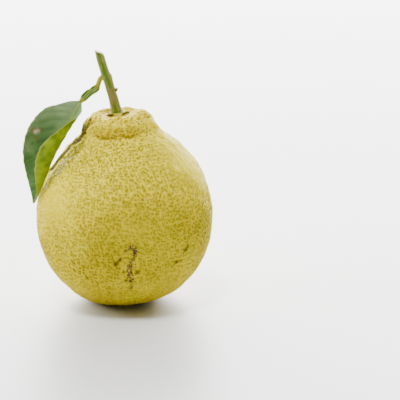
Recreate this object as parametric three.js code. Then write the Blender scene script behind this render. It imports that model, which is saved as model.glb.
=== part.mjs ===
// A picked bergamot orange with its cut stalk and one leaf, resting on the small flat spot under it.
// Millimetres, +Z up, origin at the centre of the flat spot, front towards -Y.

import * as THREE from "three";
import { ParametricGeometry } from "three/addons/geometries/ParametricGeometry.js";

// ---- Driving dimensions ----
const FRUIT_RADIUS = 41.8; // half the width across the belly
const FRUIT_HEIGHT = 91; // from the flat spot to the rim of the neck
const BELLY_SHIFT = 1; // how far the belly stands to the right of the flat spot
const SHOULDER_SHIFT = 0.9; // further shift of the shoulder to the right
const NECK_SHIFT = 2.9; // shift of the neck back to the left
const NECK_TILT = 0.07; // rise of the top of the neck to the right, per millimetre
const NECK_FOOT = 74; // height where the shift and the tilt of the neck begin
const FRUIT_SLICES = 60;
const FRUIT_RINGS = 44;

const CALYX_OFFSET = new THREE.Vector2(-0.5, 0); // from the middle of the neck, across and back
const CALYX_RADIUS = 4; // to the notches between the sepals
const SEPAL_LENGTH = 1.7; // from a notch to a sepal's tip
const SEPALS = 5;
const CALYX_THICKNESS = 1.7; // in the middle; thinner at the sepals
const SEAT_HEIGHT = 89.6; // of the sunken seat in the top of the fruit
const GAP = 0.3; // left between pieces that meet

const STEM_RADIUS = 1.95;
const STEM_FLARE = 0.5; // extra radius at the foot
const NODE_SWELL = 0.35; // extra radius where the leaf stalk grows out
const STEM_CUT = 0.6; // fall to the right of the slanting cut on top, per millimetre

const PETIOLE_RADIUS = 0.85; // round part next to the stem
const WING_HALF_WIDTH = 1.7; // narrow wings along the outer part

const LEAF_HALF_WIDTH = 15.7;
const LEAF_THICKNESS = 0.5;
const LEAF_END_HALF_WIDTH = 0.45; // where the blade starts and ends
const RIGHT_FOLD = [0.9, 1.3]; // turn of the right half at the midrib, joint and tip, in radians
const RIGHT_CURL = [0.5, 4]; // its further turn per LEAF_HALF_WIDTH, joint and tip
const LEFT_CURL = 0.45; // turn of the left half per LEAF_HALF_WIDTH
const FOLD_REACH = 0.8; // distance from the midrib over which the right half folds

const BUD_RADIUS = 0.65;

// Meridian of the fruit from the edge of the flat spot up to the seat of the calyx, as shares of
// FRUIT_RADIUS and FRUIT_HEIGHT: foot, belly, shoulder, steep neck, rim and sunken seat.
const MERIDIAN = [
  [0.21, 0],
  [0.35, 0.009],
  [0.545, 0.042],
  [0.73, 0.112],
  [0.885, 0.212],
  [0.975, 0.333],
  [1, 0.452],
  [0.978, 0.546],
  [0.911, 0.647],
  [0.776, 0.753],
  [0.61, 0.834],
  [0.481, 0.881],
  [0.42, 0.92],
  [0.375, 0.962],
  [0.315, 0.993],
  [0.24, 1],
  [0.175, 0.989],
  [0.1, 0.985],
  [0, 0.984],
];

// Centre line of the stem, foot to cut end.
const STEM_PATH = [
  [-1.9, 0, 91.95],
  [-3.3, 0, 97.2],
  [-4.5, 0, 101.5],
  [-5.7, 0, 106.2],
  [-6.8, 0, 109],
  [-8.1, 0, 113.2],
  [-9.9, 0, 119.6],
];

// Leaf stalk, from the stem to the joint with the blade.
const PETIOLE_PATH = [
  [-9.5, -0.1, 107.2],
  [-10, -0.6, 104.9],
  [-11.4, -1.3, 102.4],
  [-14.7, -2.2, 100.3],
  [-17.5, -3, 97.9],
];

// Midrib of the blade, joint to tip: it droops towards the front, then hangs beside the fruit.
const MIDRIB_PATH = [
  [-18, -3.3, 97.2],
  [-20.6, -5, 94],
  [-22.8, -7, 89.6],
  [-27, -9.3, 82],
  [-32, -10.1, 72],
  [-36.6, -9.3, 60.4],
  [-41.3, -7.4, 48.7],
];

// Where the left half of the blade looks, at the joint and where the blade hangs.
const BLADE_FACINGS = [new THREE.Vector3(0.15, -0.9, 0.42), new THREE.Vector3(0.05, -0.96, 0.25)];
const PETIOLE_FACING = new THREE.Vector3(0.2, -0.85, 0.5);
const FRONT = new THREE.Vector3(0, -1, 0);

const { lerp, smoothstep, clamp } = THREE.MathUtils;

const curveThrough = (points) =>
  new THREE.CatmullRomCurve3(points.map((p) => new THREE.Vector3(...p)));

// Bump of height 1 round a centre.
const bump = (x, centre, width) => Math.exp(-(((x - centre) / width) ** 2));

// A closed solid from point(along, angle, scale): rings from along 0 to 1, each gone round by the
// angle, and a cap at either end, which is its end ring drawn in to scale 0.
function ringSolid(point, slices, rings) {
  const place = (u, v, target) => {
    const ring = Math.round(v * (rings + 1));
    const along = clamp((ring - 1) / (rings - 1), 0, 1);
    const scale = ring === 0 || ring === rings + 1 ? 0 : 1;
    target.copy(point(along, 2 * Math.PI * u, scale));
  };
  return new ParametricGeometry(place, slices, rings + 1);
}

// Axes at a place on a path: face is as near the given direction as a right angle to the path
// allows, and side is on the right where the path runs down, for someone who looks at the face.
function axesAt(path, along, facing) {
  const tangent = path.getTangent(along);
  const face = facing.clone().addScaledVector(tangent, -facing.dot(tangent)).normalize();
  const side = new THREE.Vector3().crossVectors(face, tangent);
  return { origin: path.getPoint(along), face, side };
}

// Point at given distances from the origin of such axes.
const offset = ({ origin, face, side }, across, out) =>
  origin.clone().addScaledVector(side, across).addScaledVector(face, out);

// ---- The shifts and the tilt that the fruit and the calyx share ----
function leaning(x, y, z) {
  const neck = smoothstep(z, NECK_FOOT, NECK_FOOT + 13);
  const belly = BELLY_SHIFT * smoothstep(z, 0, 9);
  const shoulder = SHOULDER_SHIFT * smoothstep(z, 38, NECK_FOOT);
  const shift = belly + shoulder - NECK_SHIFT * neck;
  return new THREE.Vector3(x + shift, y, z + neck * NECK_TILT * x);
}

// ---- Fruit, which grew as one piece ----
// The meridian turned round the axis, a little lobed, with soft ribs round the neck, and a fold
// across the front below the collar of the neck.
function fruit() {
  const meridian = new THREE.SplineCurve(
    MERIDIAN.map(([r, z]) => new THREE.Vector2(r * FRUIT_RADIUS, z * FRUIT_HEIGHT)),
  );
  const lobes = (a) => 0.006 * Math.cos(3 * a - 0.9) + 0.004 * Math.cos(5 * a + 1.3);
  const ribs = (a) => 0.5 * Math.cos(4 * a + 0.5) + 0.4 * Math.cos(7 * a + 2);
  const point = (along, angle, scale) => {
    const { x: radius, y: z } = meridian.getPoint(along);
    const front = Math.max(0, -Math.sin(angle)) ** 2;
    const wall = smoothstep(radius, 6, 14);
    const neck = wall * bump(z, 0.94 * FRUIT_HEIGHT, 4) * ribs(angle);
    const fold = wall * front * (0.6 * bump(z, 87, 2.4) - 0.8 * bump(z, 82, 2));
    const r = scale * (radius * (1 + lobes(angle)) + neck + fold);
    return leaning(r * Math.cos(angle), r * Math.sin(angle), z);
  };
  return ringSolid(point, FRUIT_SLICES, FRUIT_RINGS);
}

// ---- Calyx: a low disc that ends in short sepals, on the seat in the top of the fruit ----
function calyx() {
  // Share of the radius and of the thickness, from the underside over the edge to the middle.
  const section = [
    [0.75, 0],
    [1, 0.3],
    [1, 0.42],
    [0.8, 0.62],
    [0.6, 0.85],
    [0.5, 1],
  ];
  const point = (along, angle, scale) => {
    const [share, level] = section[Math.round(along * (section.length - 1))];
    const sepal = (0.5 + 0.5 * Math.cos(SEPALS * angle + 0.6)) ** 1.5;
    const r = scale * share * (CALYX_RADIUS + SEPAL_LENGTH * sepal * smoothstep(share, 0.5, 1));
    const x = CALYX_OFFSET.x + r * Math.cos(angle);
    const y = CALYX_OFFSET.y + r * Math.sin(angle);
    return leaning(x, y, SEAT_HEIGHT + GAP + level * CALYX_THICKNESS);
  };
  return ringSolid(point, 40, section.length);
}

// ---- Stem: flared at the foot, swollen where the leaf stalk grows out, cut on a slant ----
function stem() {
  const path = curveThrough(STEM_PATH);
  const point = (along, angle, scale) => {
    const foot = STEM_FLARE * Math.exp(-along / 0.1);
    const swell = NODE_SWELL * bump(along, 0.58, 0.09);
    const r = scale * (STEM_RADIUS + foot + swell - 0.2 * along);
    const at = offset(axesAt(path, along, FRONT), r * Math.cos(angle), r * Math.sin(angle));
    at.z += smoothstep(along, 0.9, 1) * STEM_CUT * r * Math.cos(angle);
    return at;
  };
  return ringSolid(point, 16, 22);
}

// ---- Dried bud: a speck on the other side of the stem ----
function driedBud() {
  const path = curveThrough([
    [-2.05, -0.35, 101.2],
    [-1.75, -0.5, 101.8],
    [-1.5, -0.6, 102.6],
  ]);
  const point = (along, angle, scale) => {
    const r = scale * BUD_RADIUS * Math.cos(along * 1.2);
    return offset(axesAt(path, along, FRONT), r * Math.cos(angle), r * Math.sin(angle));
  };
  return ringSolid(point, 8, 5);
}

// ---- Petiole: round next to the stem, then flat with narrow wings up to the blade ----
function petiole() {
  const path = curveThrough(PETIOLE_PATH);
  const point = (along, angle, scale) => {
    const wing = smoothstep(along, 0.3, 0.5) * (1 - smoothstep(along, 0.86, 1));
    const across = scale * lerp(PETIOLE_RADIUS, WING_HALF_WIDTH, wing) * Math.cos(angle);
    const out = scale * PETIOLE_RADIUS * (1 - 0.45 * wing) * Math.sin(angle);
    return offset(axesAt(path, along, PETIOLE_FACING), across, out);
  };
  return ringSolid(point, 12, 16);
}

// ---- Leaf blade ----
// A sheet that is folded along its midrib. From the midrib each half turns towards the front,
// the right half quickly at the fold and then evenly out to its margin, so that it rolls over.
function leafBlade() {
  const path = curveThrough(MIDRIB_PATH);
  const strides = 14;
  const point = (along, angle, scale) => {
    const facing = BLADE_FACINGS[0].clone().lerp(BLADE_FACINGS[1], smoothstep(along, 0, 0.4));
    const axes = axesAt(path, along, facing);
    const outline = Math.sin(Math.PI * along ** 1.15) ** 1.2;
    const half = LEAF_END_HALF_WIDTH + (LEAF_HALF_WIDTH - LEAF_END_HALF_WIDTH) * outline;
    const reach = scale * half * Math.cos(angle);
    const right = reach > 0;
    const fold = right ? lerp(...RIGHT_FOLD, along) : 0;
    const curl = right ? lerp(...RIGHT_CURL, along ** 1.8) : LEFT_CURL;
    const turn = (s) => fold * (1 - Math.exp(-s / FOLD_REACH)) + (curl * s) / LEAF_HALF_WIDTH;
    const stride = Math.abs(reach) / strides;
    let across = 0;
    let out = 0;
    for (let i = 0; i < strides; i++) {
      const heading = turn((i + 0.5) * stride);
      across += stride * Math.cos(heading);
      out += stride * Math.sin(heading);
    }
    const heading = turn(Math.abs(reach));
    const lift = scale * 0.5 * LEAF_THICKNESS * Math.sin(angle);
    const sign = right ? 1 : -1;
    return offset(axes, sign * (across - lift * Math.sin(heading)), out + lift * Math.cos(heading));
  };
  return ringSolid(point, 32, 30);
}

const bergamot = new THREE.Group();

function add(name, geometry, color, roughness) {
  const material = new THREE.MeshStandardMaterial({ color, roughness, metalness: 0 });
  const mesh = new THREE.Mesh(geometry, material);
  mesh.name = name;
  bergamot.add(mesh);
}

add("fruit", fruit(), 0xd8c63c, 0.45);
add("calyx", calyx(), 0xa9ab4e, 0.6);
add("stem", stem(), 0x83893f, 0.65);
add("dried_bud", driedBud(), 0x3d2c1c, 0.9);
add("petiole", petiole(), 0x6f8230, 0.5);
add("leaf_blade", leafBlade(), 0x557a35, 0.4);

export default bergamot;
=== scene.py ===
"""Looks of a picked bergamot orange with its cut stalk and one folded leaf.

Every piece is a numpy surface in the row frame, worked out in millimetres from the boxes of the
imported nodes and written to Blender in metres.
"""

import logging
import math
from collections.abc import Sequence
from dataclasses import dataclass, field
from enum import Enum

import bpy
import numpy as np
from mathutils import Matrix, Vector

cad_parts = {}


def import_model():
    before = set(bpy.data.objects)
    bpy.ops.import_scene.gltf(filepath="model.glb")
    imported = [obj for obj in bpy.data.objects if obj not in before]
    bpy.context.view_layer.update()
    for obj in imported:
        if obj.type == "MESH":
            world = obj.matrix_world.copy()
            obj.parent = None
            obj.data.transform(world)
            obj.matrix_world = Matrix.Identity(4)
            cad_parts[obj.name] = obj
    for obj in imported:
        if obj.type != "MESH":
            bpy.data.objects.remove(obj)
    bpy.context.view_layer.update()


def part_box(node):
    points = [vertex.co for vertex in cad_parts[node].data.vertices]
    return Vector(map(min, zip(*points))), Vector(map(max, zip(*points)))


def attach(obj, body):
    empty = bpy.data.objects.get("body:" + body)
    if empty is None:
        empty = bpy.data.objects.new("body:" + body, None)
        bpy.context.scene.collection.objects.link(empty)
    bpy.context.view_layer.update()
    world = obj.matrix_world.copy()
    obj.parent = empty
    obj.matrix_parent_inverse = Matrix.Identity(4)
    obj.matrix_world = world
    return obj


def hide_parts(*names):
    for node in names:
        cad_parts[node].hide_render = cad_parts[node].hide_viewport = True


log = logging.getLogger("bergamot")

MM = 0.001  # metres in a millimetre
TURN = 2 * math.pi

Spots = Sequence[tuple[float, ...]]  # each one x, y, z, radius and strength
Feed = float | bpy.types.NodeSocket  # a number, or the output that gives it


# ---------------------------------------------------------------- numbers and curves


def smoothstep(x: np.ndarray, low: float, high: float) -> np.ndarray:
    """Return 0 below low, 1 above high and 3t^2 - 2t^3 between them."""
    t = np.clip((np.asarray(x, float) - low) / (high - low), 0, 1)
    return t * t * (3 - 2 * t)


def bump(x: np.ndarray, centre: float, width: float) -> np.ndarray:
    """Return a Gaussian bump of height 1: exp(-((x - centre) / width)^2)."""
    return np.exp(-(((x - centre) / width) ** 2))


def mix(a: np.ndarray, b: np.ndarray, share: np.ndarray) -> np.ndarray:
    """Return a + (b - a) * share."""
    return a + (b - a) * share


def catmull_rom(points: np.ndarray, share: np.ndarray) -> np.ndarray:
    """Points on a uniform Catmull-Rom curve through the given points.

    Args:
        points: Control points, one a row.
        share: Places along the curve, 0 at the first point and 1 at the last.

    Returns:
        One row for each share.
    """
    p = np.vstack([2 * points[0] - points[1], points, 2 * points[-1] - points[-2]])
    x = np.clip(share, 0, 1) * (len(points) - 1)
    i = np.minimum(x.astype(int), len(points) - 2)
    t = (x - i)[:, None]
    a, b, c, d = p[i], p[i + 1], p[i + 2], p[i + 3]
    square = (2 * a - 5 * b + 4 * c - d) * t**2
    cube = (3 * b - a - 3 * c + d) * t**3
    return 0.5 * (2 * b + (c - a) * t + square + cube)


def hash01(seed: int, *keys: np.ndarray) -> np.ndarray:
    """Repeatable noise from 0 to 1, by mixing the bits of whole numbers.

    Each key is added by exclusive or, and the sum is multiplied by a large odd number and folded.

    Args:
        seed: Chooses one noise among many.
        *keys: Whole numbers, such as the row and column of a cell.

    Returns:
        One value for each set of keys.
    """
    h = np.full(np.broadcast(*keys).shape, seed * 2654435761 % 2**32, np.uint32)
    for key in keys:
        bits = (np.asarray(key).astype(np.int64) & 0xFFFFFFFF).astype(np.uint32)
        h = (h ^ bits) * np.uint32(0x85EBCA6B)
        h = (h ^ (h >> np.uint32(13))) * np.uint32(0xC2B2AE35)
        h = h ^ (h >> np.uint32(16))
    return h / np.float64(2**32)


def value_noise(points: np.ndarray, size: float, seed: int) -> np.ndarray:
    """Smooth noise from -1 to 1 in space: corner values of a grid of cubes, blended smoothly.

    Args:
        points: Places, one a row.
        size: Edge of a cube, in the units of the points.
        seed: Chooses the corner values.

    Returns:
        One value for each point.
    """
    p = np.asarray(points, float) / size
    low = np.floor(p).astype(np.int64)
    f = p - low
    f = f * f * (3 - 2 * f)
    total = np.zeros(len(p))
    for corner in np.ndindex(2, 2, 2):
        weight = np.prod(np.where(corner, f, 1 - f), axis=1)
        total += weight * hash01(seed, *(low + corner).T)
    return 2 * total - 1


def fractal(points: np.ndarray, size: float, seed: int, octaves: int = 3) -> np.ndarray:
    """Sum of value_noise at halving sizes and halving heights."""
    return sum(value_noise(points, size / 2**k, seed + k) / 2**k for k in range(octaves))


def front(angle: np.ndarray) -> np.ndarray:
    """Return 1 at the front of the fruit and less round its sides, sin^2, and 0 behind."""
    return np.maximum(0, -np.sin(angle)) ** 2


def near_points(points: np.ndarray, marks: Spots) -> np.ndarray:
    """How strongly each point lies on a few soft spots.

    Args:
        points: Places, one a row, in millimetres.
        marks: Spots as x, y, z, radius and strength.

    Returns:
        The strongest strength * exp(-(distance / radius)^2) at each point.
    """
    found = np.zeros(len(points))
    for x, y, z, radius, strength in marks:
        square = ((points - (x, y, z)) ** 2).sum(1)
        found = np.maximum(found, strength * np.exp(-square / radius**2))
    return found


# ---------------------------------------------------------------- meshes


@dataclass
class NodeBox:
    """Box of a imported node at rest, in millimetres."""

    low: np.ndarray
    high: np.ndarray

    @classmethod
    def of(cls, node: str) -> "NodeBox":
        """Read the box of a node from the frame."""
        low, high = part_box(node)
        return cls(np.array(low) / MM, np.array(high) / MM)

    def at(self, shares: list[tuple[float, float, float]]) -> np.ndarray:
        """Return the places at given shares of the box's three sides."""
        return self.low + np.array(shares, float) * (self.high - self.low)


def grid_faces(rows: int, columns: int, around: bool = True) -> np.ndarray:
    """Four-sided faces of a grid of points stored row after row.

    Args:
        rows: Number of rows of points.
        columns: Number of points in a row.
        around: Whether the last column joins the first.

    Returns:
        Four point numbers a face, anticlockwise for rows that run up and columns that run round.
    """
    r = np.arange(rows - 1)[:, None] * columns
    c = np.arange(columns if around else columns - 1)[None, :]
    d = (c + 1) % columns
    return np.stack([r + c, r + d, r + columns + d, r + columns + c], -1).reshape(-1, 4)


def capped_tube(rings: np.ndarray) -> tuple[np.ndarray, list[list[int]]]:
    """Close a stack of rings at both ends with fans to their middles.

    Args:
        rings: Points as (rings, points round, 3).

    Returns:
        The points and the faces, which point outwards for rings that run anticlockwise.
    """
    rows, columns = rings.shape[:2]
    points = np.vstack([rings.reshape(-1, 3), rings[0].mean(0), rings[-1].mean(0)])
    c = np.arange(columns)
    d = (c + 1) % columns
    foot = np.stack([d, c, np.full(columns, rows * columns)], 1)
    top = (rows - 1) * columns
    head = np.stack([top + c, top + d, np.full(columns, rows * columns + 1)], 1)
    return points, grid_faces(rows, columns).tolist() + foot.tolist() + head.tolist()


def cube_sphere(cells: int) -> tuple[np.ndarray, np.ndarray]:
    """Directions spread evenly over a sphere, as six square grids welded at their edges.

    A grid point at angles p and q across a face has the direction (1, tan p, tan q), made unit.

    Args:
        cells: Squares along the edge of each grid.

    Returns:
        Unit directions and four point numbers a face, facing outwards.
    """
    t = np.tan(np.linspace(-math.pi / 4, math.pi / 4, cells + 1))
    v, u = np.meshgrid(t, t, indexing="ij")
    sides = []
    for axis in range(3):
        for sign in (1.0, -1.0):
            side = np.roll(np.stack([np.full(u.shape, sign), sign * u, v], -1), axis, axis=-1)
            sides.append(side.reshape(-1, 3))
    points = np.vstack(sides)
    points /= np.linalg.norm(points, axis=1)[:, None]
    grid = grid_faces(cells + 1, cells + 1, False)
    faces = np.vstack([grid + side * (cells + 1) ** 2 for side in range(6)])
    rounded = np.round(points, 6) + 0.0  # adding 0 makes -0 and 0 alike
    _, first, same = np.unique(rounded, axis=0, return_index=True, return_inverse=True)
    return points[first], same.reshape(-1)[faces]


def make_piece(
    name: str,
    points: np.ndarray,
    faces: np.ndarray | list[list[int]],
    attributes: dict[str, np.ndarray],
) -> bpy.types.Object:
    """Put a surface into Blender.

    Args:
        name: Name of the piece.
        points: Points in millimetres, one a row.
        faces: Point numbers of each face.
        attributes: Values at the points, one number or three each, for the materials to read.

    Returns:
        The new object, at the origin, smooth shaded.
    """
    mesh = bpy.data.meshes.new(name)
    mesh.from_pydata(points * MM, [], faces if isinstance(faces, list) else faces.tolist())
    for key, values in attributes.items():
        kind, part = ("FLOAT", "value") if values.ndim == 1 else ("FLOAT_VECTOR", "vector")
        attribute = mesh.attributes.new(key, kind, "POINT")
        attribute.data.foreach_set(part, values.astype(np.float32).ravel())
    mesh.shade_smooth()
    mesh.update()
    piece = bpy.data.objects.new(name, mesh)
    bpy.context.scene.collection.objects.link(piece)
    return piece


@dataclass
class Axes:
    """Moving axes along a curve: tangents, faces that look one way, and sides across them."""

    origin: np.ndarray
    face: np.ndarray
    side: np.ndarray

    @classmethod
    def along(cls, curve: np.ndarray, facing: np.ndarray) -> "Axes":
        """Work out the axes.

        Args:
            curve: Points along the curve, one a row.
            facing: Wanted direction of each face; its part along the tangent is taken out.

        Returns:
            Unit axes, with side = face x tangent.
        """
        tangent = np.gradient(curve, axis=0)
        tangent /= np.linalg.norm(tangent, axis=1)[:, None]
        face = facing - (facing * tangent).sum(1)[:, None] * tangent
        face /= np.linalg.norm(face, axis=1)[:, None]
        return cls(curve, face, np.cross(face, tangent))

    def sweep(self, across: np.ndarray, out: np.ndarray) -> np.ndarray:
        """Return origin + across * side + out * face for arrays of (places, points round)."""
        sideways = across[..., None] * self.side[:, None]
        return self.origin[:, None] + sideways + out[..., None] * self.face[:, None]


# ---------------------------------------------------------------- materials


def linear(colour: str) -> tuple[float, float, float, float]:
    """Turn an sRGB hex colour such as "#C8B41C" into linear red, green, blue and alpha."""
    channels = (int(colour[i : i + 2], 16) / 255 for i in (1, 3, 5))
    return (*(c / 12.92 if c <= 0.04045 else ((c + 0.055) / 1.055) ** 2.4 for c in channels), 1.0)


def add_node(
    tree: bpy.types.NodeTree,
    kind: str,
    inputs: dict[str | int, object] | None = None,
    **settings: object,
) -> bpy.types.Node:
    """Add a node with its settings and links.

    Args:
        tree: Node tree of the material.
        kind: Blender's name of the node type.
        inputs: Value or output socket for each input, by name or number.
        **settings: Properties of the node.

    Returns:
        The node.
    """
    node = tree.nodes.new(kind)
    for name, value in settings.items():
        setattr(node, name, value)
    for key, value in (inputs or {}).items():
        if isinstance(value, bpy.types.NodeSocket):
            tree.links.new(value, node.inputs[key])
        else:
            node.inputs[key].default_value = value
    return node


class Paint:
    """A material under construction: a Principled shader and the chain of nodes that feeds it."""

    def __init__(self, name: str, roughness: float, specular: float = 0.08, ior: float = 1.45) -> None:
        """Start a material with a shader that nothing feeds yet.

        Args:
            name: What the real material is, and how it grew or was made.
            roughness: Roughness of the whole surface, unless finish links another.
            specular: Strength of the mirror reflection, 0.5 for bare glass and less for plant skin.
            ior: Index of refraction, 1.45 for the wax of plant skin.
        """
        self.material = bpy.data.materials.new(name)
        self.material.use_nodes = True
        self.tree = self.material.node_tree
        self.tree.nodes.clear()
        gloss = {"Roughness": roughness, "IOR": ior, "Specular IOR Level": specular}
        self.shader = add_node(self.tree, "ShaderNodeBsdfPrincipled", gloss)
        add_node(self.tree, "ShaderNodeOutputMaterial", {"Surface": self.shader.outputs["BSDF"]})
        self.place = add_node(self.tree, "ShaderNodeTexCoord").outputs["Object"]

    def value(self, attribute: str) -> bpy.types.NodeSocket:
        """Return a number that the mesh carries at its points."""
        return add_node(self.tree, "ShaderNodeAttribute", attribute_name=attribute).outputs["Fac"]

    def vector(self, attribute: str) -> bpy.types.NodeSocket:
        """Return a vector that the mesh carries at its points."""
        return add_node(self.tree, "ShaderNodeAttribute", attribute_name=attribute).outputs["Vector"]

    def shift(
        self, source: Feed, low: float, high: float, to: tuple[Feed, Feed] = (0, 1)
    ) -> bpy.types.NodeSocket:
        """Spread a number smoothly over a new range.

        Args:
            source: The number.
            low: Value that becomes the start of the new range.
            high: Value that becomes its end.
            to: The new range.

        Returns:
            The new number.
        """
        inputs = {"Value": source, "From Min": low, "From Max": high, "To Min": to[0], "To Max": to[1]}
        node = add_node(self.tree, "ShaderNodeMapRange", inputs, interpolation_type="SMOOTHSTEP")
        return node.outputs["Result"]

    def noise(
        self, grain: float, detail: float = 3, place: bpy.types.NodeSocket | None = None, unit: float = MM
    ) -> bpy.types.NodeSocket:
        """Add noise.

        Args:
            grain: Width of its features, in millimetres.
            detail: How many finer layers it has.
            place: Coordinates that it reads, or none for the object's own.
            unit: One millimetre in those coordinates.

        Returns:
            A number from 0 to 1, mostly near 0.5.
        """
        inputs = {"Vector": place or self.place, "Scale": 1 / (grain * unit), "Detail": detail}
        return add_node(self.tree, "ShaderNodeTexNoise", inputs).outputs["Fac"]

    def speckle(self, share: Feed, grain: float) -> bpy.types.NodeSocket:
        """Break a mark up into spots, by adding noise to it and keeping what rises above 1.

        Args:
            share: Strength of the mark, where a higher one is covered more.
            grain: Width of the spots, in millimetres.

        Returns:
            The spots, from 0 to 1.
        """
        inputs = {0: share, 1: self.noise(grain, 4)}
        total = add_node(self.tree, "ShaderNodeMath", inputs, operation="ADD")
        return self.shift(total.outputs[0], 0.98, 1.16)

    def times(self, a: Feed, b: Feed) -> bpy.types.NodeSocket:
        """Return the product of two numbers."""
        return add_node(self.tree, "ShaderNodeMath", {0: a, 1: b}, operation="MULTIPLY").outputs[0]

    def tint(
        self, factor: Feed, under: str | bpy.types.NodeSocket, over: str | bpy.types.NodeSocket
    ) -> bpy.types.NodeSocket:
        """Lay one colour over another.

        Args:
            factor: How much the upper one covers, from 0 to 1.
            under: The lower colour, as a hex string or an output.
            over: The upper colour, in the same way.

        Returns:
            The mixed colour.
        """
        colours = [linear(colour) if isinstance(colour, str) else colour for colour in (under, over)]
        inputs = {0: factor, 6: colours[0], 7: colours[1]}
        return add_node(self.tree, "ShaderNodeMix", inputs, data_type="RGBA").outputs[2]

    def relief(
        self, height: Feed, depth: float, under: bpy.types.NodeSocket | None = None
    ) -> bpy.types.NodeSocket:
        """Bump the surface.

        Args:
            height: Pattern of heights, from 0 to 1.
            depth: Height of a whole step of the pattern, in millimetres.
            under: Normal of a coarser relief that this one lies on, if any.

        Returns:
            The bumped normal.
        """
        inputs = {"Height": height, "Distance": depth * MM}
        if under is not None:
            inputs["Normal"] = under
        return add_node(self.tree, "ShaderNodeBump", inputs).outputs["Normal"]

    def finish(
        self,
        colour: bpy.types.NodeSocket,
        normal: bpy.types.NodeSocket,
        roughness: bpy.types.NodeSocket | None = None,
    ) -> bpy.types.Material:
        """Link what varies over the surface to the shader.

        Args:
            colour: Base colour.
            normal: Bumped normal.
            roughness: Roughness, if it varies.

        Returns:
            The finished material.
        """
        self.tree.links.new(colour, self.shader.inputs["Base Color"])
        self.tree.links.new(normal, self.shader.inputs["Normal"])
        if roughness is not None:
            self.tree.links.new(roughness, self.shader.inputs["Roughness"])
        return self.material


@dataclass(frozen=True)
class RindFinish:
    """Citrus rind, grown and waxy: pale ridges round darker oil glands, so it looks stippled; ridges and
    crests carry painted highlight, glands and the neck's furrow painted shade, the top painted light.
    """

    # ridge: pale ridges round the glands as painted highlight, also laid over the upper rind as painted
    # light from above.
    ridge: str = "#FFE800"
    # crest_highlight: painted highlights on small bumps of the upper rind.
    crest_highlight: str = "#FFEA44"
    flesh: str = "#D2BC00"
    deep: str = "#BCA600"
    # golden: painted shade in the neck's furrow, and deeper gold over the neck's top.
    golden: str = "#D4B000"
    # gland: the glands' own darker tone together with painted shade in their pits.
    gland: str = "#968700"
    green: str = "#AEBA00"
    cork: str = "#1E1A06"
    cork_light: str = "#5A5028"
    scar: str = "#54343C"
    speck: str = "#33240C"
    roughness: float = 0.5
    cork_roughness: float = 0.95
    depth: float = 0.65  # of the pits in the oil glands, in millimetres
    pores: float = 0.12  # depth of the finest relief, in millimetres

    def material(self) -> bpy.types.Material:
        """Build the material: yellow patches with painted top light and furrow shade, then ridges, glands
        and crests with painted highlight and shade, then blemishes.

        Returns:
            The material, which reads gland, ridge, pale, golden, cork, scar and speck at the points.
        """
        # Little mirror reflection: the wax is thin and full of pits.
        paint = Paint("citrus_rind_waxy", self.roughness, 0.03)
        dot = paint.shift(paint.value("gland"), 0.15, 0.8)
        # pale: painted light from above, paler up the fruit and less pale at the shade spots; it tints the
        # body towards the ridge colour.
        pale = paint.value("pale")
        body = paint.tint(paint.shift(paint.noise(16, 2), 0.35, 0.65), self.deep, self.flesh)
        body = paint.tint(paint.times(pale, 0.35), body, self.ridge)
        unripe = paint.shift(paint.noise(11), 0.55, 0.75)
        body = paint.tint(paint.times(unripe, 0.4), body, self.green)
        # Painted shade in the furrow under the neck's roll, and deeper gold over its top.
        body = paint.tint(paint.times(paint.value("golden"), 0.8), body, self.golden)
        # Pale ridges between the glands: painted highlight, stronger where the rind is painted pale.
        ridges = paint.times(paint.value("ridge"), paint.shift(pale, 0, 1, (0.3, 0.95)))
        body = paint.tint(ridges, body, self.ridge)
        # Darker glands: their own tone together with painted shade in their pits, stronger low on the
        # fruit.
        body = paint.tint(paint.times(dot, paint.shift(pale, 0, 1, (0.5, 0.3))), body, self.gland)
        # Painted highlights on small bumps, only where the rind is painted pale.
        crest_highlights = paint.times(paint.shift(paint.noise(1.7, 2), 0.5, 0.66), pale)
        body = paint.tint(paint.times(crest_highlights, 0.85), body, self.crest_highlight)

        # Rubbed rind turns to fibrous grey-brown cork, and old wounds to dark spots.
        fibres = paint.shift(paint.noise(0.8), 0.35, 0.65)
        cork = paint.tint(fibres, self.cork, self.cork_light)
        body = paint.tint(paint.times(paint.speckle(paint.value("cork"), 1.6), 0.9), body, cork)
        body = paint.tint(paint.times(paint.speckle(paint.value("scar"), 0.8), 0.88), body, self.scar)
        body = paint.tint(paint.value("speck"), body, self.speck)
        uneven = (self.roughness - 0.06, self.roughness + 0.08)
        rough = paint.shift(paint.noise(2.2, 2), 0.3, 0.7, uneven)
        rough = paint.shift(paint.value("cork"), 0.2, 0.8, (rough, self.cork_roughness))
        normal = paint.relief(paint.noise(0.6, 2), self.pores, paint.relief(dot, -self.depth))
        return paint.finish(body, normal, rough)


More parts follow.
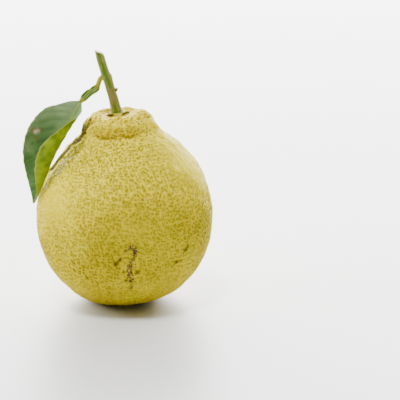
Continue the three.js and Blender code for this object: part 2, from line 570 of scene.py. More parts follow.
@dataclass(frozen=True)
class LeafFinish:
    """Fresh citrus leaf, grown and waxy: deep green and glossy above, with a painted sheen near the joint,
    and yellow-green and dull below, brightened by painted light shining through.
    """

    above: str = "#466F2C"
    above_light: str = "#729252"
    above_sheen: str = "#9CB082"
    # above_sheen: painted sheen, grey-green, over the upper face near the joint.
    below: str = "#8FA60A"
    # below: the underside's own yellow-green, brightened as painted light shining through the blade.
    below_dark: str = "#64800A"
    vein: str = "#A3AE52"
    margin: str = "#B9BC5C"
    blemish: str = "#F4E0BE"
    brown: str = "#7A5A2C"
    gloss: float = 0.36  # roughness above
    dull: float = 0.6  # roughness below

    def material(self) -> bpy.types.Material:
        """Build the material: both faces with their veins, then the rim and the blemishes.

        Returns:
            The material, which reads base, under, veins, midrib, margin, brown and blemish.
        """
        paint = Paint("citrus_leaf_waxy", self.gloss, 0.15)
        clouds = paint.shift(paint.noise(7), 0.35, 0.65)
        above = paint.tint(clouds, self.above, self.above_light)
        # Painted sheen over the upper face near the joint, weaker on the right half.
        above = paint.tint(paint.times(paint.value("base_sheen"), 0.7), above, self.above_sheen)
        above = paint.tint(paint.times(paint.value("veins"), 0.35), above, self.above_light)
        above = paint.tint(paint.times(paint.value("midrib"), 0.8), above, self.vein)
        below = paint.tint(paint.shift(paint.noise(5), 0.35, 0.7), self.below, self.below_dark)
        below = paint.tint(paint.times(paint.value("veins"), 0.3), below, self.below_dark)
        below = paint.tint(paint.times(paint.value("midrib"), 0.7), below, self.vein)
        # The underside colour holds painted light shining through the blade.
        body = paint.tint(paint.value("under"), above, below)
        body = paint.tint(paint.times(paint.value("margin"), 0.8), body, self.margin)
        body = paint.tint(paint.value("brown"), body, self.brown)
        body = paint.tint(paint.value("blemish"), body, self.blemish)
        rough = paint.shift(paint.value("under"), 0, 1, (self.gloss, self.dull))
        return paint.finish(body, paint.relief(paint.noise(0.5, 2), 0.03), rough)


@dataclass(frozen=True)
class BarkFinish:
    """Young green citrus twig, grown: dull green with straw-coloured lengthways streaks, and straw-coloured
    flanks as painted rim light.
    """

    green: str = "#567214"
    # straw: the bark's streaks, and the painted rim light on the stem's flanks.
    straw: str = "#A39C5C"
    cork: str = "#8A7648"
    pith: str = "#DCD6B0"

    def material(self) -> bpy.types.Material:
        """Build the material, whose noise is drawn out along the stem by the bark coordinates.

        Returns:
            The material, which reads bark, flank, cork and cut at the points.
        """
        paint = Paint("green_twig_bark", 0.6)
        bark = paint.vector("bark")
        streaks = paint.noise(1.0, 3, bark, 1.0)
        body = paint.tint(paint.shift(streaks, 0.5, 0.75), self.green, self.straw)
        # Straw-coloured flanks, left and right as seen from the front: painted rim light.
        body = paint.tint(paint.times(paint.value("flank_rim_light"), 0.8), body, self.straw)
        spots = paint.shift(paint.noise(1.6, 4, bark, 1.0), 0.5, 0.68)
        body = paint.tint(paint.times(spots, paint.value("cork")), body, self.cork)
        body = paint.tint(paint.value("cut"), body, self.pith)
        return paint.finish(body, paint.relief(streaks, 0.08))


@dataclass(frozen=True)
class CalyxFinish:
    """Citrus calyx, grown: fleshy pale green sepals with brown, dried edges."""

    green: str = "#98981A"
    light: str = "#BDB634"
    brown: str = "#4A2E16"

    def material(self) -> bpy.types.Material:
        """Build the material.

        Returns:
            The material, which reads brown at the points.
        """
        paint = Paint("calyx_flesh", 0.5)
        body = paint.tint(paint.shift(paint.noise(1.5), 0.35, 0.65), self.green, self.light)
        body = paint.tint(paint.value("brown"), body, self.brown)
        return paint.finish(body, paint.relief(paint.noise(0.5, 2), 0.06))


@dataclass(frozen=True)
class PetioleFinish:
    """Winged leaf stalk, grown: a yellow swollen foot, green wings and a pale double rib."""

    wing: str = "#5C7A28"
    wing_dark: str = "#48661E"
    foot: str = "#A09C1C"
    rib: str = "#A9B06A"

    def material(self) -> bpy.types.Material:
        """Build the material.

        Returns:
            The material, which reads rib and foot at the points.
        """
        paint = Paint("petiole_waxy", 0.45)
        wing = paint.tint(paint.shift(paint.noise(1.8), 0.35, 0.65), self.wing, self.wing_dark)
        body = paint.tint(paint.value("rib"), wing, self.rib)
        body = paint.tint(paint.value("foot"), body, self.foot)
        return paint.finish(body, paint.relief(paint.noise(0.6, 2), 0.04))


@dataclass(frozen=True)
class DriedFinish:
    """Dried plant tissue, shrivelled: brown, dull and finely wrinkled."""

    dark: str = "#4A3A18"
    light: str = "#94804A"

    def material(self) -> bpy.types.Material:
        """Build the material.

        Returns:
            The material.
        """
        paint = Paint("dried_tissue", 0.85)
        body = paint.tint(paint.shift(paint.noise(0.4), 0.4, 0.65), self.dark, self.light)
        return paint.finish(body, paint.relief(paint.noise(0.3, 2), 0.06))


# ---------------------------------------------------------------- pieces


@dataclass
class Piece:
    """What every piece of the fruit shares. Its sizes are millimetres, unless they are shares."""

    node: str = ""
    slot: str = ""
    name: str = ""

    def dress(self, piece: bpy.types.Object, material: bpy.types.Material) -> None:
        """Give the piece its material, tie it to the root body, and hide the imported node that it stands
        for.

        Args:
            piece: The finished object.
            material: Its material.
        """
        piece.data.materials.append(material)
        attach(piece, "root")
        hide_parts(self.node)
        mesh = piece.data
        log.info("%s: %d points, %d faces", self.name, len(mesh.vertices), len(mesh.polygons))


@dataclass
class NeckShift:
    """How the neck of the fruit leans and tilts away from the axis of the flat spot."""

    belly: float = 1.0  # to the right, from the flat spot up
    shoulder: float = 0.9  # further to the right, above the belly
    neck: float = 2.9  # back to the left, above the shoulder
    tilt: float = 0.07  # rise of the neck's top for its place to the right
    foot: float = 74.0  # height where the neck begins
    rise: float = 13.0  # height over which it bends

    def apply(self, x: np.ndarray, y: np.ndarray, z: np.ndarray) -> np.ndarray:
        """Move points sideways by height, and tilt the neck by its place across.

        Args:
            x: Places across, in millimetres.
            y: Places from front to back.
            z: Heights.

        Returns:
            The moved points, one a row.
        """
        neck = smoothstep(z, self.foot, self.foot + self.rise)
        shift = self.belly * smoothstep(z, 0, 9) + self.shoulder * smoothstep(z, 38, self.foot)
        return np.stack([x + shift - self.neck * neck, y, z + neck * self.tilt * x], -1)


@dataclass
class Fruit(Piece):
    """The rind: a turned meridian with lobes, a ribbed neck, lumps and oil glands."""

    node: str = "fruit"
    slot: str = "rind"
    name: str = "fruit_rind"
    cells: int = 128
    lean: NeckShift = field(default_factory=NeckShift)
    pitch: float = 1.42  # from one oil gland to the next
    gland: float = 0.35  # radius of an oil gland
    depth: float = 0.28  # of its pit
    # Lengths along the meridian, from its two ends, where the relief sets in.
    foot_reach: tuple[float, float] = (9.5, 14)
    seat_reach: tuple[float, float] = (5.5, 9)
    # On the neck's front: size, height and width of a roll, and of the furrow below it.
    roll: tuple[float, float, float] = (1.3, 86.8, 2.0)
    furrow: tuple[float, float, float] = (2.4, 82.4, 1.5)
    rib_band: tuple[float, float] = (85.5, 4)  # height and width of the ribs round the neck
    # Shares of the radius and the height: flat spot, belly, shoulder, neck, rim and seat.
    meridian: tuple[tuple[float, float], ...] = (
        (0.21, 0),
        (0.35, 0.009),
        (0.545, 0.042),
        (0.73, 0.112),
        (0.885, 0.212),
        (0.975, 0.333),
        (1, 0.452),
        (0.978, 0.546),
        (0.911, 0.647),
        (0.776, 0.753),
        (0.61, 0.834),
        (0.481, 0.881),
        (0.42, 0.92),
        (0.375, 0.962),
        (0.315, 0.993),
        (0.24, 1),
        (0.175, 0.989),
        (0.1, 0.985),
        (0, 0.984),
    )

    # A few lumps and dents, whose strength is their height. Calm spots are smooth; shade spots are less
    # pale, as painted shade low on the right and deeper gold at the front's middle.
    knobs: Spots = (
        (19.4, -35.8, 50.6, 2.4, 0.7),
        (15.5, -36.5, 55.5, 2.2, 0.5),
        (24, -33, 55.5, 2.4, 0.5),
        (-7.1, -14.5, 87.5, 3.0, 0.8),
        (8, -15.2, 86.5, 2.6, 0.6),
    )
    dents: Spots = (
        (19.4, -35.8, 53.6, 2.0, 0.8),
        (-12.3, -13.7, 83, 2.2, 0.9),
        (-1.5, -17.5, 84.5, 1.8, 0.5),
        (14, -13.7, 81.2, 2.2, 0.6),
    )
    calm: Spots = ((26, -8, 70, 15, 0.8), (-30, -22, 52, 12, 0.5))
    # Painted shade low on the right, and deeper gold at the front's middle.
    shade_spots: Spots = ((4, -40, 44, 16, 1.1), (30, -27, 36, 20, 1.1), (32, -22, 20, 18, 1.1))

    def outline(self) -> tuple[np.ndarray, np.ndarray]:
        """Work out the meridian from the node's box.

        Returns:
            Its points as radius and height, and the length along it from the foot's middle.
        """
        low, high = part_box(self.node)
        radius = (high.y - low.y) / MM / 2
        height = high.z / MM / 1.0085  # the neck's tilt lifts the rim past the meridian's height
        curve = catmull_rom(np.array(self.meridian), np.linspace(0, 1, 900))
        curve = np.vstack([[0, 0], curve * (radius, height)])
        step = np.linalg.norm(np.diff(curve, axis=0), axis=1)
        return curve, np.concatenate([[0], np.cumsum(step)])

    def glands(
        self, arc: np.ndarray, angle: np.ndarray, curve: np.ndarray, length: np.ndarray
    ) -> tuple[np.ndarray, np.ndarray]:
        """Find the nearest oil gland of each point.

        Glands stand in rows round the axis, one pitch apart, each moved at random.

        Args:
            arc: Length along the meridian to each point.
            angle: Angle of each point round the axis.
            curve: Points of the meridian.
            length: Length along the meridian to those points.

        Returns:
            The distance to the gland's middle, and a number from 0 to 1 that belongs to the gland.
        """
        row = np.floor(arc / self.pitch)
        best = np.full(arc.shape, 1e9)
        luck = np.zeros(arc.shape)
        radius = np.maximum(np.interp(arc, length, curve[:, 0]), 0.1)
        for r in (row - 1, row, row + 1):
            ring = np.interp((r + 0.5) * self.pitch, length, curve[:, 0])
            count = np.maximum(1, np.round(TURN * ring / self.pitch))
            first = np.floor(angle / TURN * count - 0.5 * (r % 2))
            for column in (first - 1, first, first + 1):
                key = np.mod(column, count)
                there = column + 0.5 * (r % 2) + 0.5 + 0.7 * (hash01(1, r, key) - 0.5)
                up = (r + 0.5 + 0.7 * (hash01(2, r, key) - 0.5)) * self.pitch
                far = np.hypot((angle - there / count * TURN) * radius, arc - up)
                luck = np.where(far < best, hash01(3, r, key), luck)
                best = np.minimum(far, best)
        return best, luck

    def turned(self, radius: np.ndarray, z: np.ndarray, angle: np.ndarray) -> np.ndarray:
        """Radius of the rind before its lumps.

        Three and five lobes swell the whole fruit, four and seven ribs go round the neck, and a roll
        over a furrow lies across the neck's front.

        Args:
            radius: Radius of the meridian at each point.
            z: Height of each point.
            angle: Angle of each point round the axis.

        Returns:
            The radius at each point.
        """
        lobes = 0.006 * np.cos(3 * angle - 0.9) + 0.004 * np.cos(5 * angle + 1.3)
        ribs = 0.5 * np.cos(4 * angle + 0.5) + 0.4 * np.cos(7 * angle + 2)
        wall = smoothstep(radius, 6, 14)
        roll, furrow = (size * bump(z, level, width) for size, level, width in (self.roll, self.furrow))
        neck = bump(z, *self.rib_band) * ribs + front(angle) * (roll - furrow)
        return radius * (1 + lobes) + wall * neck

    def lumps(self, place: np.ndarray) -> np.ndarray:
        """Lumps, creases, knobs and dents.

        Lumps are noise 7.5 and 3.1 mm wide, higher towards the neck. Creases run up the shoulder,
        where noise drawn out lengthways crosses zero.

        Args:
            place: Points of the turned rind, one a row.

        Returns:
            Height at each point, in millimetres.
        """
        z = place[:, 2]
        upper = smoothstep(z, 30, 75)
        coarse = fractal(place, 7.5, 11) * mix(0.3, 0.75, upper)
        fine = fractal(place, 3.1, 17, 2) * mix(0.1, 0.28, upper)
        creases = 0.5 * smoothstep(z, 60, 84) * (1 - np.abs(fractal(place * (1, 1, 0.45), 6, 23))) ** 6
        leaning = self.lean.apply(*place.T)
        return coarse + fine - creases + near_points(leaning, self.knobs) - near_points(leaning, self.dents)

    def build(self) -> bpy.types.Object:
        """Build the rind.

        The meridian is turned round the axis, lumps and the pits of the glands lift it along its
        normal, and the neck leans.

        Returns:
            The rind.
        """
        ways, faces = cube_sphere(self.cells)
        curve, length = self.outline()
        angle = np.arctan2(ways[:, 1], ways[:, 0])
        arc = (1 - np.arccos(np.clip(ways[:, 2], -1, 1)) / math.pi) * length[-1]
        radius = np.interp(arc, length, curve[:, 0])
        z = np.interp(arc, length, curve[:, 1])
        steps = length + np.arange(len(length)) * 1e-9  # never twice the same
        tangent = np.gradient(curve, steps, axis=0)
        out = np.interp(arc, length, tangent[:, 1])
        rise = -np.interp(arc, length, tangent[:, 0])
        r = self.turned(radius, z, angle)
        place = np.stack([r * np.cos(angle), r * np.sin(angle), z], -1)

        sway = 0.5 * np.stack([value_noise(place, 2.6, 31), value_noise(place, 2.6, 32)])
        swayed = angle + sway[1] / np.maximum(radius, 3)
        far, luck = self.glands(arc + sway[0], swayed, curve, length)
        far = far / mix(0.75, 1.3, luck)
        calm = near_points(place, self.calm)
        dot = np.exp(-((far / self.gland) ** 2)) * (1 - calm)
        rough = smoothstep(arc, *self.foot_reach) * smoothstep(length[-1] - arc, *self.seat_reach)
        pits = self.depth * mix(0.6, 1.3, luck) * dot
        raised = rough * (1 - 0.6 * calm) * (self.lumps(place) - pits)
        r = r + raised * out
        z = z + raised * rise
        points = self.lean.apply(r * np.cos(angle), r * np.sin(angle), z)

        marks = self.marks(points, fractal(place, 2.2, 41))
        marks["gland"] = dot
        # Ridges between the glands get painted highlight, near full in the calm spots.
        marks["ridge"] = mix(smoothstep(far, 0.5, 1.0), 0.8, calm)
        # golden: painted shade in the furrow under the front roll, and deeper gold over the neck's top.
        collar = 1.1 * front(angle) * bump(z, 84, 3) + 0.8 * smoothstep(z, 87, 89.5)
        marks["golden"] = np.clip(collar * (1 + 0.5 * fractal(place, 4, 61)), 0, 1)
        # pale: painted light from above, paler up the fruit, less pale at the shade spots.
        upper = smoothstep(z + 6 * fractal(place, 20, 51), 20, 74)
        marks["pale"] = np.clip(upper - 0.8 * near_points(points, self.shade_spots), 0, 1)
        piece = make_piece(self.name, points, faces, marks)
        self.dress(piece, RindFinish().material())
        return piece

    @staticmethod
    def marks(points: np.ndarray, rough: np.ndarray) -> dict[str, np.ndarray]:
        """Blemishes of the rind, as strengths at the points.

        Args:
            points: Points of the rind, in millimetres.
            rough: Noise that frays the edges.

        Returns:
            cork: Grey corky rubbing down the left shoulder.
            scar: Brown streak low on the front.
            speck: Small dark specks.
        """
        shoulder = [
            (-15.4, -6, 87.5, 3.6, 0.85),
            (-17.6, -5, 83.6, 4.4, 1.1),
            (-23.4, -3.2, 77.6, 4.4, 1.2),
            (-28.6, -3.2, 72.2, 4.8, 1.3),
            (-32.4, -3.2, 67.2, 4.4, 1.15),
            (-36.0, -3.5, 60.0, 2.8, 0.8),
        ]
        streak = [
            (7.9, -40.9, 37.6, 2.4, 0.72),
            (7.3, -40.6, 32.6, 2.4, 0.78),
            (5.8, -39.7, 28.5, 2.8, 0.84),
            (5.0, -38.4, 24.0, 3.0, 0.84),
            (5.5, -36.4, 19.6, 2.2, 0.76),
            (5.3, -33.6, 14.6, 2.2, 0.76),
        ]
        branch = [
            (6.0, -41, 37.8, 2.8, 0.78),
            (2.8, -41.2, 34.8, 1.4, 0.62),
            (0.7, -40.9, 31.6, 1.4, 0.7),
            (-1.1, -40.3, 29.3, 1.5, 0.76),
        ]
        specks = [
            (-1.1, -40.3, 29, 1.2, 1),
            (0.8, -40.9, 31, 0.9, 1),
            (2.5, -38.8, 24.7, 0.8, 0.9),
            (8.6, -38, 24.4, 1.2, 1),
            (3.3, -37.2, 20.1, 0.9, 0.95),
            (30.7, -28.2, 32, 1.5, 0.95),
            (31.8, -27.5, 33.2, 1.2, 0.95),
            (26.5, -30.3, 26.8, 1.2, 0.95),
            (28.4, -28.6, 27, 0.8, 0.7),
            (-20.7, -33.3, 27.3, 0.9, 0.75),
            (-20.4, -31.9, 23.5, 0.9, 0.75),
            (-14.3, -34, 20.3, 0.9, 0.85),
            (-12.9, -9.2, 88.2, 1.2, 0.85),
            (12.9, -4, 89, 1.2, 0.65),
            (-12.8, -13.5, 83, 1.4, 0.65),
        ]
        steps = np.linspace(0, 1, 40)
        rubbed, *wounds = (
            near_points(points, catmull_rom(np.array(line), steps)) for line in (shoulder, streak, branch)
        )
        cork = rubbed * (1 + 0.25 * rough)
        scar = np.maximum(*wounds) * (0.84 + 0.25 * rough)
        return {"cork": cork, "scar": scar, "speck": near_points(points, specks)}


@dataclass
class Calyx(Piece):
    """The calyx: a fleshy star under the stem, with dried edges."""

    node: str = "calyx"
    slot: str = "calyx"
    name: str = "calyx_sepals"
    sepals: int = 5
    notch: float = 4.0  # radius between two sepals
    sepal: float = 1.9  # how much further a sepal reaches
    flesh: float = 1.0  # thickness of the rim
    mound: float = 0.75  # rise of the middle above the rim
    lift: float = 0.35  # of the rim's underside above the seat
    gap: float = 0.1  # under the middle
    lean: float = 0.08  # slope, as the neck's top is tilted
    left: float = 0.3  # how far the middle stands left of the box's

    def build(self) -> bpy.types.Object:
        """Build the calyx as rings from its underside over the edge to its middle.

        The radius is a share of the reach, which swells to a sepal as (0.5 + 0.5 cos(5a))^1.5 and has
        a ragged edge of 11 and 17 waves.

        Returns:
            The calyx.
        """
        box = NodeBox.of(self.node)
        middle = (box.low[0] + box.high[0]) / 2 - self.left
        below, above = 12, 26  # rings
        share = np.concatenate([np.linspace(0.3, 0.98, below), np.linspace(1, 0.32, above)])[:, None]
        over = np.concatenate([np.zeros(below), np.linspace(0, 1, above)])[:, None]
        angle = np.linspace(0, TURN, 150, endpoint=False)[None, :]
        lobe = (0.5 + 0.5 * np.cos(self.sepals * angle + 0.6)) ** 1.5
        ragged = 0.25 * np.cos(11 * angle + 1) + 0.15 * np.cos(17 * angle + 2)
        r = share * (self.notch + (self.sepal * lobe + ragged) * smoothstep(share, 0.45, 1))
        flesh = self.flesh + 0.4 * lobe * bump(share, 0.75, 0.25)
        mound = self.mound * (1 - smoothstep(share, 0.3, 0.62)) * over
        under = self.gap + self.lift * smoothstep(share, 0.6, 1)
        x = r * np.cos(angle)
        z = box.low[2] + under + flesh * smoothstep(over, 0, 0.25) + mound + self.lean * x
        rings = np.stack([middle + x, r * np.sin(angle), z], -1)
        points, faces = capped_tube(rings)
        edge = smoothstep(share, 0.8, 0.97) * smoothstep(np.cos(3 * angle + 1.2), -0.3, 0.6)
        marks = {"brown": np.concatenate([edge.ravel(), [0, 0]])}
        piece = make_piece(self.name, points, faces, marks)
        self.dress(piece, CalyxFinish().material())
        return piece


@dataclass
class Stem(Piece):
    """The cut stalk: ribbed, flared at the foot, swollen where the leaf stalk grows out."""

    node: str = "stem"
    slot: str = "stem_bark"
    name: str = "stem_bark"
    radius: float = 2.15
    flare: float = 0.6  # at the foot
    swell: float = 0.35  # where the leaf stalk grows out
    swell_at: float = 0.58  # share of the length
    scar: float = 0.16  # ring left by a fallen leaf
    scar_at: float = 0.345
    cut: float = 0.6  # slope of the cut end
    dish: float = 0.12  # depth of the pith in it
    stretch: float = 4.64  # length that the bark's pattern sees, a sixth of the real one
    # Shares of the node's box, foot to cut end.
    path: tuple[tuple[float, float, float], ...] = (
        (0.804, 0.5, -0.01),
        (0.687, 0.5, 0.204),
        (0.588, 0.5, 0.353),
        (0.488, 0.5, 0.516),
        (0.397, 0.5, 0.613),
        (0.289, 0.5, 0.758),
        (0.14, 0.5, 0.98),
    )

    def build(self) -> bpy.types.Object:
        """Build the stem as rings square to its centre line, the last ones sheared by the cut.

        The radius is the stem's own, plus a flare that dies away from the foot, a swelling, a scar
        ring, five and nine ribs, and noise.

        Returns:
            The stem.
        """
        along = np.linspace(0, 1, 130)
        curve = catmull_rom(NodeBox.of(self.node).at(self.path), along)
        axes = Axes.along(curve, np.broadcast_to([0.0, -1, 0], curve.shape))
        angle = np.linspace(0, TURN, 56, endpoint=False)[None, :]
        s = along[:, None]
        ribs = 0.07 * np.cos(5 * angle + 1) + 0.05 * np.cos(9 * angle + 3 * s)
        rings_out = self.swell * bump(s, self.swell_at, 0.07) + self.scar * bump(s, self.scar_at, 0.012)
        r = self.radius + self.flare * np.exp(-s / 0.09) + rings_out + ribs - 0.1 * s
        bark = np.stack([r * np.cos(angle), r * np.sin(angle), self.stretch * s + 0 * r], -1)
        r = r + 0.1 * value_noise(bark.reshape(-1, 3), 1.1, 71).reshape(r.shape)
        rings = axes.sweep(r * np.cos(angle), r * np.sin(angle))
        rings[..., 2] += smoothstep(s, 0.93, 1) * self.cut * r * np.cos(angle)

        # The cut end has a sharp edge, so its rim is there twice, and then the dished pith.
        rim = rings[-1]
        pith = mix(rim.mean(0), rim, 0.8) - (0, 0, self.dish)
        points, faces = capped_tube(np.concatenate([rings, [rim, pith]]))
        bark = np.concatenate([bark, bark[-1:], bark[-1:] * (0.7, 0.7, 1)])
        rows, columns = bark.shape[:2]
        level = np.repeat(np.concatenate([along, [1, 1]]), columns)
        # Flanks left and right as seen from the front, for the painted rim light.
        flank_rim_light = np.tile(np.abs(np.cos(angle)) ** 1.5, (rows, 1)).ravel()
        corky = 1 - smoothstep(level, 0.25, 0.62) + 1.5 * bump(level, self.scar_at, 0.016)
        cut = np.repeat(np.arange(rows) >= rows - 2, columns).astype(float)
        marks = {
            "bark": np.vstack([bark.reshape(-1, 3), bark[0, :2]]),
            "flank_rim_light": np.concatenate([flank_rim_light, [0, 0]]),
            "cork": np.concatenate([corky, [1, 0]]),
            "cut": np.concatenate([cut, [0, 1]]),
        }
        piece = make_piece(self.name, points, faces, marks)
        self.dress(piece, BarkFinish().material())
        return piece


@dataclass
class DriedBud(Piece):
    """A shrivelled bud on the right of the stem."""

    node: str = "dried_bud"
    slot: str = "dried_tissue"
    name: str = "dried_bud_scales"
    radius: float = 0.6
    # Shares of the node's box, stem to tip.
    path: tuple[tuple[float, float, float], ...] = ((0.2, 0.6, 0), (0.55, 0.5, 0.45), (0.9, 0.4, 1))

    def build(self) -> bpy.types.Object:
        """Build the bud as a wrinkled, pointed drop, whose radius is half a sine wave along it.

        Returns:
            The bud.
        """
        along = np.linspace(0, 1, 24)
        curve = catmull_rom(NodeBox.of(self.node).at(self.path), along)
        axes = Axes.along(curve, np.broadcast_to([0.0, -1, 0], curve.shape))
        angle = np.linspace(0, TURN, 24, endpoint=False)[None, :]
        s = along[:, None]
        wrinkles = 1 + 0.18 * np.cos(5 * angle + 9 * s)
        r = 0.1 + self.radius * np.sin(math.pi * (0.15 + 0.83 * s)) * wrinkles
        points, faces = capped_tube(axes.sweep(r * np.cos(angle), r * np.sin(angle)))
        piece = make_piece(self.name, points, faces, {})
        self.dress(piece, DriedFinish().material())
        return piece


@dataclass
class Petiole(Piece):
    """The leaf stalk: a round, swollen foot, then narrow wings beside a double rib."""

    node: str = "petiole"
    slot: str = "petiole"
    name: str = "petiole_wings"
    radius: float = 1.15  # of the foot
    wing: float = 1.8  # half the width of the wings
    thickness: float = 0.22  # half that of the wings
    # Shares of the node's box, stem to blade. The first lies inside the stem's swelling.
    path: tuple[tuple[float, float, float], ...] = (
        (1.08, 0.86, 1.06),
        (0.93, 0.8, 0.93),
        (0.85, 0.7, 0.74),
        (0.71, 0.552, 0.505),
        (0.359, 0.354, 0.299),
        (-0.04, 0.14, -0.06),
    )

    def build(self) -> bpy.types.Object:
        """Build the petiole as rings along its path, round at the foot and then flattened to wings.

        The wings carry a rib of two ridges, with a groove between, and curve up by 0.12 u^2 at a
        distance u from it.

        Returns:
            The petiole.
        """
        along = np.linspace(0, 1, 90)
        curve = catmull_rom(NodeBox.of(self.node).at(self.path), along)
        axes = Axes.along(curve, np.broadcast_to([0.2, -0.85, 0.5], curve.shape))
        angle = np.linspace(0, TURN, 48, endpoint=False)[None, :]
        s = along[:, None]
        left = np.cos(angle) < 0
        notch = 0.5 * bump(s, 0.74, 0.03) * left
        wing = smoothstep(s, 0.46, 0.6) * (1 - smoothstep(s, 0.91, 0.98)) * (1 - notch)
        across = mix(self.radius, self.wing, wing) * np.cos(angle)
        u = np.abs(across)
        rib = np.exp(-((u / 0.5) ** 2)) * 0.25 - np.exp(-((u / 0.18) ** 2)) * 0.15
        out = mix(self.radius, self.thickness + rib, wing) * np.sin(angle)
        out = out + wing * 0.12 * u**2
        points, faces = capped_tube(axes.sweep(across, out))
        ribs = (np.exp(-(((u - 0.4) / 0.13) ** 2)) * wing).ravel()
        foot = np.broadcast_to(1 - wing * smoothstep(s, 0.4, 0.62), across.shape).ravel()
        marks = {"rib": np.concatenate([ribs, [0, 0]]), "foot": np.concatenate([foot, [1, 1]])}
        piece = make_piece(self.name, points, faces, marks)
        self.dress(piece, PetioleFinish().material())
        return piece


@dataclass
class LeafBlade(Piece):
    """The blade: a thin sheet folded at its midrib, with its right half rolled to the front."""

    node: str = "leaf_blade"
    slot: str = "leaf"
    name: str = "leaf_blade_sheet"
    half_width: float = 15.7
    end_width: float = 0.45
    thickness: float = 0.36
    fold: tuple[float, float] = (0.9, 1.3)  # angle at the midrib, joint and tip, in radians
    curl: tuple[float, float] = (0.5, 4.0)  # angle that the right half rolls through
    left_curl: float = 0.45
    fold_reach: float = 0.8  # over which the fold is rounded
    vein_pitch: float = 5.0
    teeth: tuple[float, float] = (2.6, 4.3)  # pitches of the fine waves of the edge
    wave_pitch: float = 19.0  # of the long waves of the blade
    rings: int = 170
    columns: int = 180
    # Ways that the upper face looks, at the joint and past a third of the blade.
    facing: tuple[tuple[float, float, float], ...] = ((0.15, -0.9, 0.42), (0.05, -0.96, 0.25))
    # Shares of the node's box, joint to tip.
    path: tuple[tuple[float, float, float], ...] = (
        (0.977, 0.988, 0.994),
        (0.884, 0.898, 0.929),
        (0.805, 0.792, 0.839),
        (0.654, 0.67, 0.684),
        (0.475, 0.628, 0.48),
        (0.309, 0.67, 0.243),
        (0.141, 0.771, 0.004),
    )

    def section(
        self, s: np.ndarray, u: np.ndarray, right: np.ndarray
    ) -> tuple[np.ndarray, np.ndarray, np.ndarray]:
        """Roll the sheet up across the midrib.

        The heading is fold * (1 - exp(-u / reach)) + curl * u / half_width, and across and out are
        the sums of its cosine and sine from the midrib out.

        Args:
            s: Share of the length, from the joint to the tip.
            u: Distance from the midrib, measured in the sheet.
            right: Whether a point is on the right half.

        Returns:
            Distance across, distance out and heading at each point.
        """
        fold = np.where(right, mix(*self.fold, s), 0.0)
        curl = np.where(right, mix(*self.curl, s**1.8), self.left_curl)

        def heading(walk: np.ndarray) -> np.ndarray:
            """Return the heading at a distance from the midrib."""
            return fold * (1 - np.exp(-walk / self.fold_reach)) + curl * walk / self.half_width

        steps = (np.arange(24) + 0.5)[:, None, None] / 24
        walked = heading(steps * u)
        return np.cos(walked).mean(0) * u, np.sin(walked).mean(0) * u, heading(u)

    def build(self) -> bpy.types.Object:
        """Build the blade as flat rings, over its upper face and back along its underside.

        Its half width is the full one times sin(pi s^1.15)^1.2 at a share s of the length. Side veins
        leave the midrib every vein_pitch and bend towards the tip by 0.5 u + 0.014 u^2, and the blade
        bulges between them.

        Returns:
            The blade.
        """
        along = np.linspace(0, 1, self.rings)
        curve = catmull_rom(NodeBox.of(self.node).at(self.path), along)
        turn = smoothstep(along, 0, 0.4)[:, None]
        axes = Axes.along(curve, mix(*np.array(self.facing)[:, None], turn))
        length = np.linalg.norm(np.diff(curve, axis=0), axis=1).sum()
        angle = np.linspace(0, TURN, self.columns, endpoint=False)[None, :]
        s = along[:, None]
        fine, coarse = (TURN * s * length / pitch for pitch in self.teeth)
        teeth = 0.12 * np.cos(fine) + 0.08 * np.cos(coarse + 1)
        outline = np.sin(math.pi * s**1.15) ** 1.2
        half = self.end_width + (self.half_width - self.end_width + teeth) * outline
        cosine = np.cos(angle)
        share = np.sign(cosine) * np.abs(cosine) ** 0.85
        right = share > 0
        u = half * np.abs(share)
        under = np.sin(angle) < 0
        across, out, heading = self.section(s, u, right)

        phase = (s * length - 0.5 * u - 0.014 * u**2) / self.vein_pitch
        gap = np.abs(phase - np.round(phase)) * self.vein_pitch
        inside = smoothstep(u, 0.3, 1.2) * (1 - smoothstep(u / half, 0.8, 0.97))
        veins = np.exp(-((gap / 0.3) ** 2)) * inside
        midrib = np.exp(-((u / mix(0.6, 0.3, s)) ** 2))
        quilt = 0.1 * np.cos(TURN * phase) * smoothstep(u / half, 0.05, 0.3) * outline
        sway = np.sin(TURN * s * length / self.wave_pitch + 1.5 * right)
        wave = 0.35 * sway * (u / self.half_width) ** 2
        body = 0.5 * self.thickness * np.sin(angle)
        below = -0.3 * midrib * (1 - 0.6 * s) - 0.05 * veins
        lift = body - quilt + wave + np.where(under, below, -0.14 * midrib - 0.04 * veins)
        sign = np.where(right, 1.0, -1.0)
        rings = axes.sweep(sign * (across - lift * np.sin(heading)), out + lift * np.cos(heading))
        points, faces = capped_tube(rings)

        edge = smoothstep(np.abs(share) + 0 * s, 0.955, 0.99)
        flat = {
            "under": under * (1 - edge) + 0.5 * edge,
            "veins": veins,
            "midrib": midrib,
            "margin": edge,
            # base_sheen: painted sheen near the joint, weaker on the right half.
            "base_sheen": (1 - smoothstep(s, 0.15, 0.75)) * (1 - 0.6 * right) + 0 * u,
            "brown": smoothstep(s, 0.975, 1) + 0 * u,
        }
        marks = {key: np.concatenate([v.ravel(), v[0, :1], v[-1, :1]]) for key, v in flat.items()}
        rough = 1 + 0.5 * fractal(points, 1.5, 81)
        bleached = [(-39.0, -11, 83.9, 0.9, 1), (-37.9, -10.8, 84.2, 0.8, 1)]
        marks["blemish"] = near_points(points, bleached) * rough
        brown = [
            (-40.1, -11, 84.6, 1.3, 0.9),
            (-37, -10.5, 84.9, 1.0, 0.8),
            (-39.4, -11, 81, 1.1, 0.6),
            (-38.4, -11, 79.6, 0.9, 0.5),
            (-31.4, -7.4, 94.9, 0.8, 0.4),
        ]
        marks["brown"] = np.clip(marks["brown"] + near_points(points, brown) * rough, 0, 1)
        piece = make_piece(self.name, points, faces, marks)
        self.dress(piece, LeafFinish().material())
        return piece


# ---------------------------------------------------------------- studio


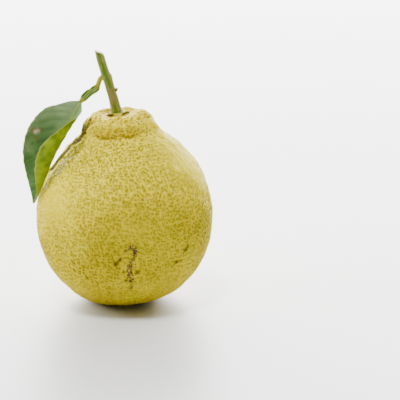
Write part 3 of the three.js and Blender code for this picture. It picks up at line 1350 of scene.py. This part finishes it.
class Light(Enum):
    """Softboxes of the studio: place, aim, width and height in metres, and radiance."""

    BACK = ((0.0, 2.2, 0.75), (0, 0, 0.1), 4.2, 1.7, 20.0)
    LEFT = ((-1.1, 0.2, 0.6), (0, 0, 0.05), 0.6, 0.6, 10.0)
    RIGHT = ((0.75, 0.3, 1.0), (0, 0, 0.05), 0.5, 0.5, 3.0)
    KEY = ((-0.15, -0.28, 1.05), (0, 0, 0.05), 0.24, 0.24, 76.0)


@dataclass
class Studio:
    """A pale floor, soft lights and a long lens a little above the fruit, in metres."""

    distance: float = 0.8
    elevation: float = 15.0  # in degrees
    frame_width: float = 0.1904  # width that the lens takes in at the distance
    aim: tuple[float, float, float] = (0.03714, 0.0017, 0.04784)
    sensor: float = 36.0  # in millimetres
    floor_size: float = 12.0
    room: float = 0.1  # strength of the light from all round

    def floor(self) -> None:
        """Lay a wide, slightly glossy floor."""
        half = self.floor_size / 2
        corners = [(-half, -half, 0), (half, -half, 0), (half, half, 0), (-half, half, 0)]
        mesh = bpy.data.meshes.new("floor")
        mesh.from_pydata(corners, [], [(0, 1, 2, 3)])
        floor = bpy.data.objects.new("floor", mesh)
        bpy.context.scene.collection.objects.link(floor)
        # Satin acrylic mirrors the broad back light softly, which is what makes it look white.
        paint = Paint("white_acrylic_sheet", 0.42, 0.6, 1.5)
        paint.shader.inputs["Base Color"].default_value = linear("#E6E6E4")
        mesh.materials.append(paint.material)

    def lights(self) -> None:
        """Hang the softboxes, each of power radiance * pi * area, and light the room round them."""
        for light in Light:
            place, aim, width, height, radiance = light.value
            data = bpy.data.lights.new(light.name.lower(), "AREA")
            data.shape = "RECTANGLE"
            data.size = width
            data.size_y = height
            data.energy = radiance * math.pi * width * height
            lamp = bpy.data.objects.new(data.name, data)
            bpy.context.scene.collection.objects.link(lamp)
            self.point(lamp, np.array(place), np.array(aim))
        world = bpy.data.worlds.new("white_tent")
        world.use_nodes = True
        back = world.node_tree.nodes["Background"]
        back.inputs["Color"].default_value = linear("#F7F9FC")
        back.inputs["Strength"].default_value = self.room
        bpy.context.scene.world = world

    def camera(self) -> None:
        """Set the camera at the front, above the fruit, looking down a little."""
        tilt = math.radians(self.elevation)
        aim = np.array(self.aim)
        place = aim + self.distance * np.array([0, -math.cos(tilt), math.sin(tilt)])
        data = bpy.data.cameras.new("camera")
        data.sensor_width = self.sensor
        data.lens = self.sensor * self.distance / self.frame_width
        camera = bpy.data.objects.new("camera", data)
        bpy.context.scene.collection.objects.link(camera)
        self.point(camera, place, aim)
        bpy.context.scene.camera = camera

    @staticmethod
    def point(obj: bpy.types.Object, place: np.ndarray, aim: np.ndarray) -> None:
        """Put an object somewhere with its -Z axis towards a point.

        Args:
            obj: A lamp or the camera.
            place: Where it goes, in metres.
            aim: What it looks at.
        """
        obj.location = place
        obj.rotation_euler = Vector(aim - place).to_track_quat("-Z", "Y").to_euler()


def main() -> None:
    """Build the studio and each piece of the fruit."""
    logging.basicConfig(level=logging.INFO, format="%(name)s %(message)s")
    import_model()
    studio = Studio()
    studio.camera()
    studio.floor()
    studio.lights()
    for part in (Fruit(), Calyx(), Stem(), DriedBud(), Petiole(), LeafBlade()):
        part.build()


if __name__ == "__main__":
    main()
